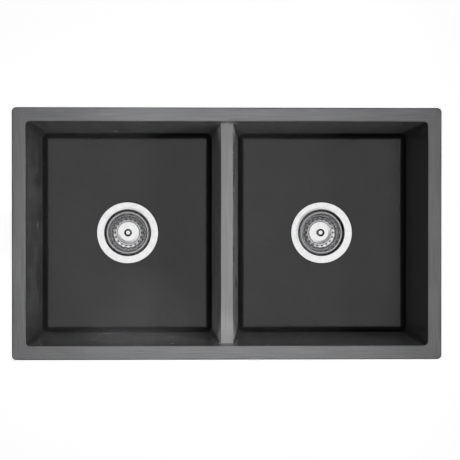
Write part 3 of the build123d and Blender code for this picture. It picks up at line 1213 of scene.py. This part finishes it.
@dataclass
class Basket:
    """Drawn basket: raised centre, two rings of pierced holes, steep wall and turned-down lip."""

    sheet: float = 0.8
    hole_r: float = 4.65
    crown_r: float = 8.7
    dome_top: float = -31.0
    crown_mid: tuple[float, float] = (15.0, -31.84)
    dome_r: float = 21.3
    dome_edge: float = -33.3
    bottom: float = -41.0
    trough: float = 9.0  # height of the trough that holds the holes
    base: tuple[float, float] = (34.5, -37.0)
    mouth: tuple[float, float] = (36.4, -5.0)
    lip: tuple[float, float] = (40.4, -8.6)
    lip_round: float = 0.3
    bends: tuple[float, ...] = (30.0, 20.0, 1.5, 1.2, 10.0, 1.2)
    holes: int = 18
    inner_ring: float = 24.6
    inner_hole: float = 3.0  # across, as the outer ones
    inner_margin: float = 0.55  # sheet between the holes and their band's edge
    outer_ring: float = 31.0
    outer_hole: float = 5.4
    outer_margin: float = 1.2
    rollover: float = 0.25  # edge drawn in by the punch
    burr: float = 0.1  # edge that the punch breaks away on the far side
    band_rows: int = 6

    def line(self) -> np.ndarray:
        """The seen surface, from the bush's hole out to the lip's edge.

        Returns:
            Its (radius, height) points.
        """
        points = [(self.hole_r, self.dome_top), (self.crown_r, self.dome_top), self.crown_mid,
                  (self.dome_r, self.dome_edge), (self.dome_r, self.bottom), self.base,
                  self.mouth, self.lip]
        return rounded(points, self.bends)

    def surfaces(self) -> list[Patch]:
        """Plain turned runs, and two bands of pierced cells between them.

        Returns:
            The basket's patches.
        """
        sheet = SheetRun(self.line())
        under = self.bottom + self.trough
        inner, outer = (sheet.length_at(ring, under) for ring in (self.inner_ring, self.outer_ring))
        start = inner - self.inner_hole / 2 - self.inner_margin
        middle = (inner + self.inner_hole / 2 + outer - self.outer_hole / 2) / 2
        end = outer + self.outer_hole / 2 + self.outer_margin
        last = float(sheet.run[-1]) - self.lip_round
        patches = []
        for low, high in ((0.0, start), (end, last)):
            inside = sheet.run[(sheet.run > low + 1e-6) & (sheet.run < high - 1e-6)]
            length = np.concatenate([[low], inside, [high]])
            patches += [turned(sheet.place(length, lift), closed=False)
                        for lift in (0.0, -self.sheet)]
        return [*patches, *self.ends(sheet, last),
                *self.cells(sheet, start, middle, inner, self.inner_hole / 2, 0.0),
                *self.cells(sheet, middle, end, outer, self.outer_hole / 2, 0.5)]

    def ends(self, sheet: SheetRun, last: float) -> list[Patch]:
        """Straight edge at the bush's hole, and the lip's edge, which is half an ellipse.

        Args:
            sheet: The basket's seen surface.
            last: Length along it at which the lip's edge starts.

        Returns:
            The two edges.
        """
        turn = np.linspace(0, math.pi, 7)
        drop = -self.sheet / 2 * (1 - np.cos(turn))
        outward = sheet.line[-1] - sheet.line[-2]
        outward = outward / np.linalg.norm(outward) * self.lip_round
        cut, lip = (sheet.place(np.full(len(turn), length), drop) for length in (0.0, last))
        return [turned(line, closed=False) for line in (cut, lip + np.sin(turn)[:, None] * outward)]

    def cells(self, sheet: SheetRun, low: float, high: float, middle: float, hole: float,
              shift: float) -> list[Patch]:
        """Band of sheet with one hole in each cell, both faces and the holes' walls.

        A cell spans one share of the turn. Its grid goes from the hole's edge to the cell's
        border, and each point lies on the straight line between a point of the circle and the
        border's point in the same direction. Arc length and angle then put it on the sheet.

        Args:
            sheet: The basket's seen surface.
            low: Where the band starts along the sheet.
            high: Where it ends.
            middle: Where the holes' centres lie.
            hole: Radius of a hole.
            shift: Offset of the holes, as a share of their spacing.

        Returns:
            The band's patches, one for each hole.
        """
        spacing, per_cell, rows = FULL_TURN / self.holes, AROUND // self.holes, self.band_rows
        centre_r = float(sheet.place(middle, 0.0)[0])
        turn = np.linspace(-0.5, 0.5, per_cell + 1) * spacing
        climb = np.linspace(low, high, rows + 1)
        border_turn = np.concatenate([turn[:-1], np.full(rows, turn[-1]), turn[:0:-1],
                                      np.full(rows, turn[0])])
        border_run = np.concatenate([np.full(per_cell, low), climb[:-1],
                                     np.full(per_cell, high), climb[:0:-1]])
        flat = np.stack([border_turn * centre_r, border_run - middle], -1)
        ray = flat / np.linalg.norm(flat, axis=1, keepdims=True)
        grid = []
        for share, ease, lift in self.levels():
            point = (1 - share) * ray * (hole + ease) + share * flat
            place = sheet.place(point[:, 1] + middle, lift)
            grid.append(np.stack([place[:, 0], point[:, 0] / centre_r, place[:, 1]], -1))
        radius, angle, height = np.moveaxis(np.array(grid), -1, 0)
        turns = [angle + (index + shift) * spacing for index in range(self.holes)]
        return [Patch(np.stack([radius * np.cos(turn), radius * np.sin(turn), height], -1))
                for turn in turns]

    def levels(self) -> list[tuple[float, float, float]]:
        """Rows of a cell, from its border in over the punched edge and back on the far face.

        Returns:
            For each row, its share of the way from hole to border, how far it lies outside the
            hole, and its lift.
        """
        out, far, burr = self.rollover, -self.sheet, self.burr
        seen = [(share, out, 0.0) for share in (1.0, 0.55, 0.2, 0.0)]
        wall = [(0.0, 0.3 * out, -0.3 * out), (0.0, 0.0, -out), (0.0, 0.0, far + 0.8 * burr),
                (0.0, 0.8 * burr, far)]
        return seen + wall + [(share, burr, far) for share in (0.2, 0.55, 1.0)]


@dataclass
class PullPlug:
    """Knob, stem, rubber stopper, its plate, washer and nut, and the bush that guides them."""

    dome_top: float = -31.0
    bush_flange_r: float = 6.5
    bush_flange: float = 1.2
    bush_r: float = 4.6
    bush_bore: float = 3.05
    bush_depth: float = 3.4
    bush_edge: float = 0.2
    knob_foot: float = -29.5
    knob_height: float = 13.0
    knob_r: float = 7.3
    knob_foot_r: float = 5.4
    knob_waist_r: float = 4.6
    knob_waist: float = 0.35  # height of the waist, as a share of the knob's
    knob_edge: float = 1.6
    knob_crown: float = 2.0
    knob_crown_share: float = 0.55  # of the radius, past which the crown is rounded off
    knob_bore: float = 7.0
    knob_bends: tuple[float, ...] = (0.2, 0.2, 0.5, 3.0, 1.0, 0.8)
    stem_r: float = 3.0
    stem_low: float = -55.7
    stem_gap: float = 0.05  # left above the stem in the knob's bore
    stem_bevel: float = 0.5
    stem_bends: tuple[float, ...] = (0.1, 0.1, 0.2)
    thread_pitch: float = 1.0
    thread_depth: float = 0.3
    thread_row: float = 0.14
    thread_over: float = 0.5  # length of thread above the washer's underside
    stopper_low: float = -46.7
    stopper: float = 3.5
    stopper_r: float = 19.5
    stopper_bevel: float = 1.2
    stopper_edge: float = 0.3
    ring_gap: float = 1.5  # between the washer and the ring moulded under the stopper
    ring_half: float = 0.8
    ring_depth: float = 0.25
    plate_r: float = 15.0
    plate: float = 0.8
    washer_r: float = 9.0
    washer: float = 1.0
    stamped_edge: float = 0.25
    nut_flats: float = 10.0
    nut_height: float = 5.0
    nut_chamfer: float = 0.7
    nut_thread_depth: float = 0.15
    bore: float = 3.05

    def guide_bush(self) -> list[Patch]:
        """Moulded bush with a bevelled flange.

        Returns:
            The bush's patch.
        """
        top, low = self.dome_top + self.bush_flange, self.dome_top - self.bush_depth
        bevel = self.bush_flange / 2
        corners = [(self.bush_bore, low), (self.bush_r, low), (self.bush_r, self.dome_top),
                   (self.bush_flange_r, self.dome_top), (self.bush_flange_r, top - bevel),
                   (self.bush_flange_r - bevel, top), (self.bush_bore, top)]
        return [turned(closed_section(corners, self.bush_edge))]

    def knob(self) -> list[Patch]:
        """Waisted knob with a crowned top.

        The crown is an arc of radius c: at the radius r it lies c less the root of c squared minus
        r squared below the top.

        Returns:
            The knob's patch.
        """
        top = self.knob_foot + self.knob_height
        edge, bore_top = top - self.knob_crown, self.knob_foot + self.knob_bore
        crown_r = (self.knob_r ** 2 + self.knob_crown ** 2) / (2 * self.knob_crown)
        radius = np.linspace(self.knob_r * self.knob_crown_share, 0, 9)
        crown = np.stack([radius, top - crown_r + np.sqrt(crown_r ** 2 - radius ** 2)], -1)
        line = rounded([(0, bore_top), (self.bore, bore_top), (self.bore, self.knob_foot),
                        (self.knob_foot_r, self.knob_foot),
                        (self.knob_waist_r, self.knob_foot + self.knob_height * self.knob_waist),
                        (self.knob_r, edge - self.knob_edge), (self.knob_r, edge),
                        tuple(crown[0])], self.knob_bends)
        return [turned(np.concatenate([line, crown[1:]]), closed=False)]

    def stem(self) -> list[Patch]:
        """Rod with a rolled thread at its lower end.

        Returns:
            The stem's patch.
        """
        high = self.knob_foot + self.knob_bore - self.stem_gap
        line = rounded([(0, self.stem_low), (self.stem_r - self.stem_bevel, self.stem_low),
                        (self.stem_r, self.stem_low + self.stem_bevel), (self.stem_r, high),
                        (0, high)], self.stem_bends)
        thread_top = self.stopper_low - self.washer + self.thread_over
        line = with_rows(line, self.stem_low, thread_top, self.thread_row)
        radius, height = line[:, :1], line[:, 1:]
        cut = thread_wave(height, EVEN_ANGLES, self.stem_low - self.thread_pitch, thread_top,
                          self.thread_pitch, self.thread_depth)
        radius = np.where(radius > self.stem_r - 0.9 * self.stem_bevel, radius - cut, radius)
        return [turned(np.stack(np.broadcast_arrays(radius, height), -1), closed=False)]

    def stopper_disc(self) -> list[Patch]:
        """Rubber disc with a bevelled sealing edge and a moulded ring under it.

        Returns:
            The stopper's patch.
        """
        low, high, bevel = self.stopper_low, self.stopper_low + self.stopper, self.stopper_bevel
        ring = self.washer_r + self.ring_gap
        corners = [(self.bore, low), (ring, low), (ring + self.ring_half, low - self.ring_depth),
                   (ring + 2 * self.ring_half, low), (self.stopper_r - bevel, low),
                   (self.stopper_r, low + bevel), (self.stopper_r, high), (self.bore, high)]
        return [turned(closed_section(corners, self.stopper_edge))]

    def backing_plate(self) -> list[Patch]:
        """Stamped disc on the stopper."""
        top = self.stopper_low + self.stopper + self.plate
        return [flat_ring(self.bore, self.plate_r, top, self.plate, self.stamped_edge)]

    def stem_washer(self) -> list[Patch]:
        """Stamped washer under the stopper."""
        return [flat_ring(self.bore, self.washer_r, self.stopper_low, self.washer,
                          self.stamped_edge)]

    def stem_nut(self) -> list[Patch]:
        """Small hexagon nut that holds the stopper on."""
        low = self.stopper_low - self.washer - self.nut_height
        return HexNut(self.nut_flats, low, self.nut_height, self.bore, self.nut_chamfer,
                      self.thread_pitch, self.nut_thread_depth).surfaces()


@dataclass
class Strainer:
    """One whole strainer: what is clamped to the floor, the lift-out basket and its plug."""

    shop: Workshop

    def build(self) -> list[bpy.types.Object]:
        """Makes all sixteen pieces.

        Returns:
            The pieces.
        """
        seat, side = DrainSeat(), self.shop.side.value
        rings, plug = ClampRings(seat), PullPlug()
        fixed = [("strainer_body", "drawn", StrainerBody(seat).surfaces(), POLISHED_STEEL,
                  "polished_steel"),
                 ("flange_gasket", "moulded", rings.flange_gasket(), NITRILE, "soft_rubber"),
                 ("under_washer", "moulded", rings.under_washer(), NITRILE, "soft_rubber"),
                 ("friction_ring", "stamped", rings.friction_ring(), FIBRE, "friction_fibre"),
                 ("locknut", "cast", Locknut().surfaces(), PLATED_ZINC, "cast_nut"),
                 ("tailpiece_washer", "moulded", rings.tailpiece_washer(), NYLON, "nylon"),
                 ("tailpiece", "drawn", Tailpiece().surfaces(), DRAWN_STEEL, "satin_steel"),
                 ("coupling_nut", "cast", COUPLING_NUT.surfaces(), PLATED_ZINC, "cast_nut")]
        lifted = [("basket", "drawn", Basket().surfaces(), POLISHED_STEEL, "polished_steel"),
                  ("guide_bush", "moulded", plug.guide_bush(), NYLON, "nylon")]
        pulled = [("knob", "turned", plug.knob(), POLISHED_STEEL, "polished_steel"),
                  ("stem", "drawn", plug.stem(), DRAWN_STEEL, "satin_steel"),
                  ("backing_plate", "stamped", plug.backing_plate(), PRESSED_STEEL, "satin_steel"),
                  ("stopper", "moulded", plug.stopper_disc(), NITRILE, "soft_rubber"),
                  ("stem_washer", "stamped", plug.stem_washer(), PRESSED_STEEL, "satin_steel"),
                  ("stem_nut", "pressed", plug.stem_nut(), PRESSED_STEEL, "satin_steel")]
        bodies = (("sink", fixed), (f"{side}_basket", lifted), (f"{side}_plug", pulled))
        return [self.shop.make(piece, shape, patches, kind, slot, body)
                for body, pieces in bodies for piece, shape, patches, kind, slot in pieces]


# --- Studio -------------------------------------------------------------------------------


@dataclass(frozen=True)
class Spot:
    """Spot lamp that points at a place and fades out over its whole cone."""

    name: str
    at: tuple[float, float, float]
    aim: tuple[float, float, float]
    power: float
    cone: float  # degrees across
    size: float = 0.3  # radius of the lamp, which softens its shadows
    squeeze: float = 1.0  # share of the beam's width that is left along the lamp's x axis

    def hang(self) -> None:
        """Adds the lamp to the scene."""
        light = bpy.data.lights.new(self.name, "SPOT")
        light.energy, light.spot_size, light.spot_blend = self.power, math.radians(self.cone), 1.0
        light.shadow_soft_size = self.size
        lamp = bpy.data.objects.new(self.name, light)
        lamp.location = self.at
        way = Vector(self.aim) - Vector(self.at)
        lamp.rotation_euler = way.to_track_quat("-Z", "Y").to_euler()
        lamp.scale.x = self.squeeze
        lamp.visible_camera = lamp.visible_glossy = False
        bpy.context.scene.collection.objects.link(lamp)


@dataclass(frozen=True)
class SkyDisc:
    """Round patch of bright sky, far away, that lights only some pieces."""

    name: str
    way: tuple[float, float, float]  # from the sink to the patch's middle
    half_angle: float  # degrees
    level: float  # brightness, where 1 is white

    def hang(self, pieces: bpy.types.Collection) -> None:
        """Adds the patch to the scene.

        A patch of radiance L and half angle a gives an irradiance of pi L sin(a) ** 2 face on.

        Args:
            pieces: What it lights.
        """
        light = bpy.data.lights.new(self.name, "SUN")
        light.angle = math.radians(2 * self.half_angle)
        light.energy = math.pi * self.level * math.sin(math.radians(self.half_angle)) ** 2
        lamp = bpy.data.objects.new(self.name, light)
        lamp.rotation_euler = (-Vector(self.way)).to_track_quat("-Z", "Y").to_euler()
        lamp.visible_camera = False
        lamp.light_linking.receiver_collection = pieces
        bpy.context.scene.collection.objects.link(lamp)


# Two soft spots from the right, in front and behind, light the rim and the walls, and a weak one
# hangs above. Narrow ones reach the front wall of the left bowl and the ends of the divider's top,
# which lie in the rim's shade.
SPOTS = (
    Spot("front_spot", at=(1.8, -2.0, 2.0), aim=(-0.03, 0.0, 0.0), power=256.0, cone=17.0),
    Spot("back_spot", at=(1.6, 2.2, 2.0), aim=(-0.03, 0.0, 0.0), power=245.0, cone=17.0),
    Spot("top_spot", at=(0.0, -0.25, 2.4), aim=(0.0, -0.06, 0.0), power=12.0, cone=20.0),
    Spot("wall_spot", at=(-0.155, 1.88, 1.26), aim=(-0.155, -0.19, -0.14), power=500.0, cone=6.2,
         size=0.03),
    Spot("back_end_spot", at=(0.0, -1.072, 2.127), aim=(0.0, 0.178, -0.038), power=150.0,
         cone=1.6, size=0.01, squeeze=0.55),
    Spot("front_end_spot", at=(0.0, 1.072, 2.127), aim=(0.0, -0.178, -0.038), power=255.0,
         cone=1.6, size=0.01, squeeze=0.55),
)
# The basin sees a bright sky that fades out to its sides.
BASIN_SKY = (
    SkyDisc("basin_sky", way=(0.035, 0.0, 1.0), half_angle=13.0, level=0.75),
    SkyDisc("basin_sky_edge", way=(0.035, 0.0, 1.0), half_angle=22.0, level=0.42),
)
# The steel sees a wide white light above and a dim room round it, which makes its slopes dark.
STEEL_SKY = (
    SkyDisc("steel_sky", way=(0.0, 0.08, 1.0), half_angle=31.0, level=1.08),
    SkyDisc("steel_room", way=(0.0, 0.0, 1.0), half_angle=75.0, level=0.12),
)


@dataclass
class Studio:
    """Pale floor, surroundings that are white to the camera, the lamps, and the camera above."""

    moulded: bpy.types.Collection
    steel: bpy.types.Collection
    floor_gap: float = 0.0005
    floor_size: float = 12.0
    floor_glow: float = 0.92
    floor_tone: float = 0.62
    sky_level: float = 0.1  # of the light that the world scatters
    mirrored_level: float = 0.05  # of the world in glossy surfaces, which see the sky discs
    camera_at: tuple[float, float, float] = (-0.069, 0.023, 2.65)
    camera_aim: tuple[float, float, float] = (0.0044, 0.0064, 0.0)
    lens: float = 119.05
    sensor: float = 36.0

    def floor(self, level: float) -> None:
        """Pale floor that shows white to camera, glossy and transmission rays and keeps a shadow.

        Args:
            level: Its height.
        """
        half = self.floor_size / 2
        mesh = bpy.data.meshes.new("studio_floor")
        corners = [(-half, -half, level), (half, -half, level), (half, half, level),
                   (-half, half, level)]
        mesh.from_pydata(corners, [], [(0, 1, 2, 3)])
        plane = bpy.data.objects.new("studio_floor", mesh)
        bpy.context.scene.collection.objects.link(plane)
        material, tree = fresh_material("pale_studio_floor")
        rays = add(tree, "LightPath").node.outputs
        sharp = add(tree, "Math", (rays["Is Glossy Ray"], rays["Is Transmission Ray"]),
                    operation="MAXIMUM")
        seen = add(tree, "Math", (rays["Is Camera Ray"], sharp), operation="MAXIMUM")
        glow = add(tree, "Math", (seen, self.floor_glow), operation="MULTIPLY")
        white = add(tree, "Emission", {"Color": WHITE, "Strength": glow})
        matt = add(tree, "BsdfDiffuse", {"Color": (*[self.floor_tone] * 3, 1)})
        add(tree, "OutputMaterial", {"Surface": add(tree, "AddShader", (white, matt))})
        mesh.materials.append(material)

    def world(self) -> None:
        """White to the camera, faint in glossy surfaces, and soft light all round for the rest."""
        world = bpy.data.worlds.new("studio_world")
        bpy.context.scene.world = world
        world.use_nodes = True
        tree = world.node_tree
        tree.nodes.clear()
        rays = add(tree, "LightPath").node.outputs
        mirrored = add(tree, "Math", (rays["Is Glossy Ray"], self.mirrored_level),
                       operation="MULTIPLY")
        others = add(tree, "Math", (1.0, rays["Is Glossy Ray"]), operation="SUBTRACT")
        soft = add(tree, "Math", (others, self.sky_level), operation="MULTIPLY")
        level = add(tree, "Math", (mirrored, soft), operation="ADD")
        strength = add(tree, "Mix", {0: rays["Is Camera Ray"], 2: level, 3: 1.0})
        back = add(tree, "Background", {"Color": WHITE, "Strength": strength})
        add(tree, "OutputWorld", {"Surface": back})

    def camera(self) -> None:
        """Long lens nearly straight above, with the sink's back at the top of the picture."""
        data = bpy.data.cameras.new("photo_camera")
        data.lens, data.sensor_width = self.lens, self.sensor
        camera = bpy.data.objects.new("photo_camera", data)
        camera.location = self.camera_at
        back = (Vector(self.camera_at) - Vector(self.camera_aim)).normalized()
        across = Vector((0, 1, 0)).cross(back).normalized()
        camera.rotation_euler = Matrix([across, back.cross(across), back]).transposed().to_euler()
        bpy.context.scene.collection.objects.link(camera)
        bpy.context.scene.camera = camera
        bpy.context.scene.view_settings.view_transform = "Standard"

    def build(self, level: float) -> None:
        """Makes the studio.

        Args:
            level: Height of the sink's lowest point, which the floor lies just under.
        """
        self.floor(level - self.floor_gap)
        self.world()
        for spot in SPOTS:
            spot.hang()
        for discs, pieces in ((BASIN_SKY, self.moulded), (STEEL_SKY, self.steel)):
            for disc in discs:
                disc.hang(pieces)
        self.camera()
        LOG.info("studio: %d spots, %d sky discs", len(SPOTS), len(BASIN_SKY + STEEL_SKY))


def main() -> None:
    """Builds the pieces in order, then the studio."""
    logging.basicConfig(level=logging.INFO, format="%(name)s %(message)s")
    Basin().dress()
    moulded, steel = (bpy.data.collections.new(name) for name in ("moulding", "strainer_pieces"))
    moulded.objects.link(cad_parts["basin"])
    for side in Side:
        low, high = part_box(f"{side.value}_tailpiece")
        axis = ((low.x + high.x) / 2, (low.y + high.y) / 2)
        for made in Strainer(Workshop(side, axis, -BOWL_DEPTH * MM)).build():
            steel.objects.link(made)
    Studio(moulded, steel).build(CAD_BOX[0].z)


if __name__ == "__main__":
    main()
